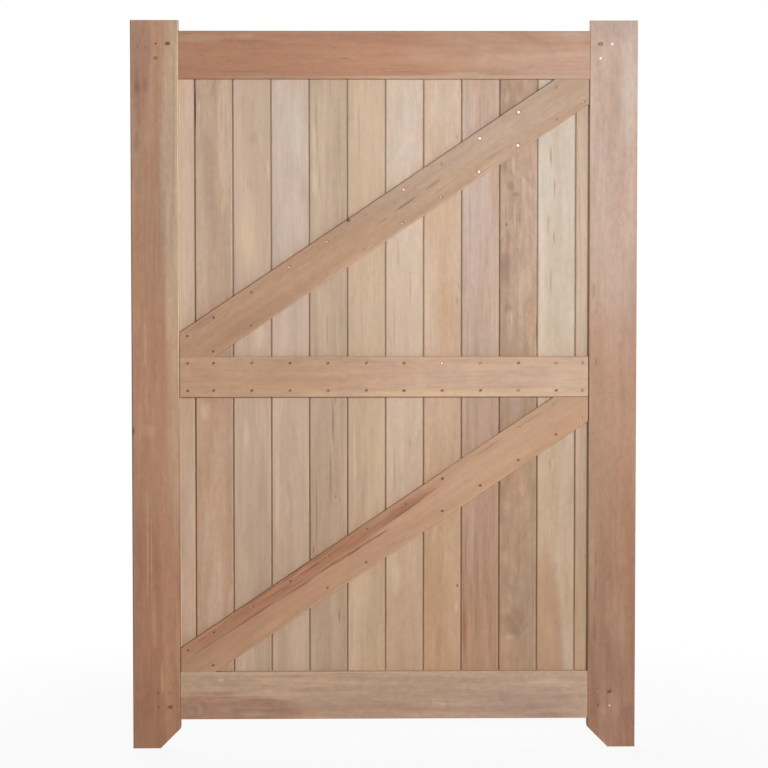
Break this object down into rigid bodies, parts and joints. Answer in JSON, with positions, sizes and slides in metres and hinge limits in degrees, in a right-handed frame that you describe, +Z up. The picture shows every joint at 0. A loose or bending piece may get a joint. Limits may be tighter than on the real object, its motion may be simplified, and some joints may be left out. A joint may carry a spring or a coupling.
{
  "type": "wooden garden gate",
  "caption": "Framed, ledged and braced wooden garden gate: pinned stiles and rails, a middle ledge and rising braces planted on upright V-jointed tongued and grooved boards.",
  "frame": {"origin": "on the hanging edge, level with the feet of the horns, at the middle of the frame's thickness", "axes": "+X from the hanging edge to the closing edge, +Z up, -Y out of the rear face that carries the ledge and the braces"},
  "size_m": [1.247, 0.045, 1.8],
  "materials": {
    "stile_timber": "planed, unfinished reddish timber",
    "rail_timber": "planed, unfinished reddish timber",
    "ledge_timber": "planed, unfinished pale reddish timber",
    "board_timber": "planed, unfinished pale timber",
    "pin_steel": "bright stainless steel"
  },
  "bodies": {
    "root": {"hanging_stile": "stile_timber", "closing_stile": "stile_timber", "top_rail": "rail_timber", "bottom_rail": "rail_timber", "middle_ledge": "ledge_timber", "upper_brace": "ledge_timber", "lower_brace": "ledge_timber", "top_hanging_pins": "pin_steel", "top_closing_pins": "pin_steel", "bottom_hanging_pins": "pin_steel", "bottom_closing_pins": "pin_steel", "board_01": "board_timber", "board_02": "board_timber", "board_03": "board_timber", "board_04": "board_timber", "board_05": "board_timber", "board_06": "board_timber", "board_07": "board_timber", "board_08": "board_timber", "board_09": "board_timber", "board_10": "board_timber", "board_11": "board_timber", "board_12": "board_timber"}
  },
  "joints": []
}
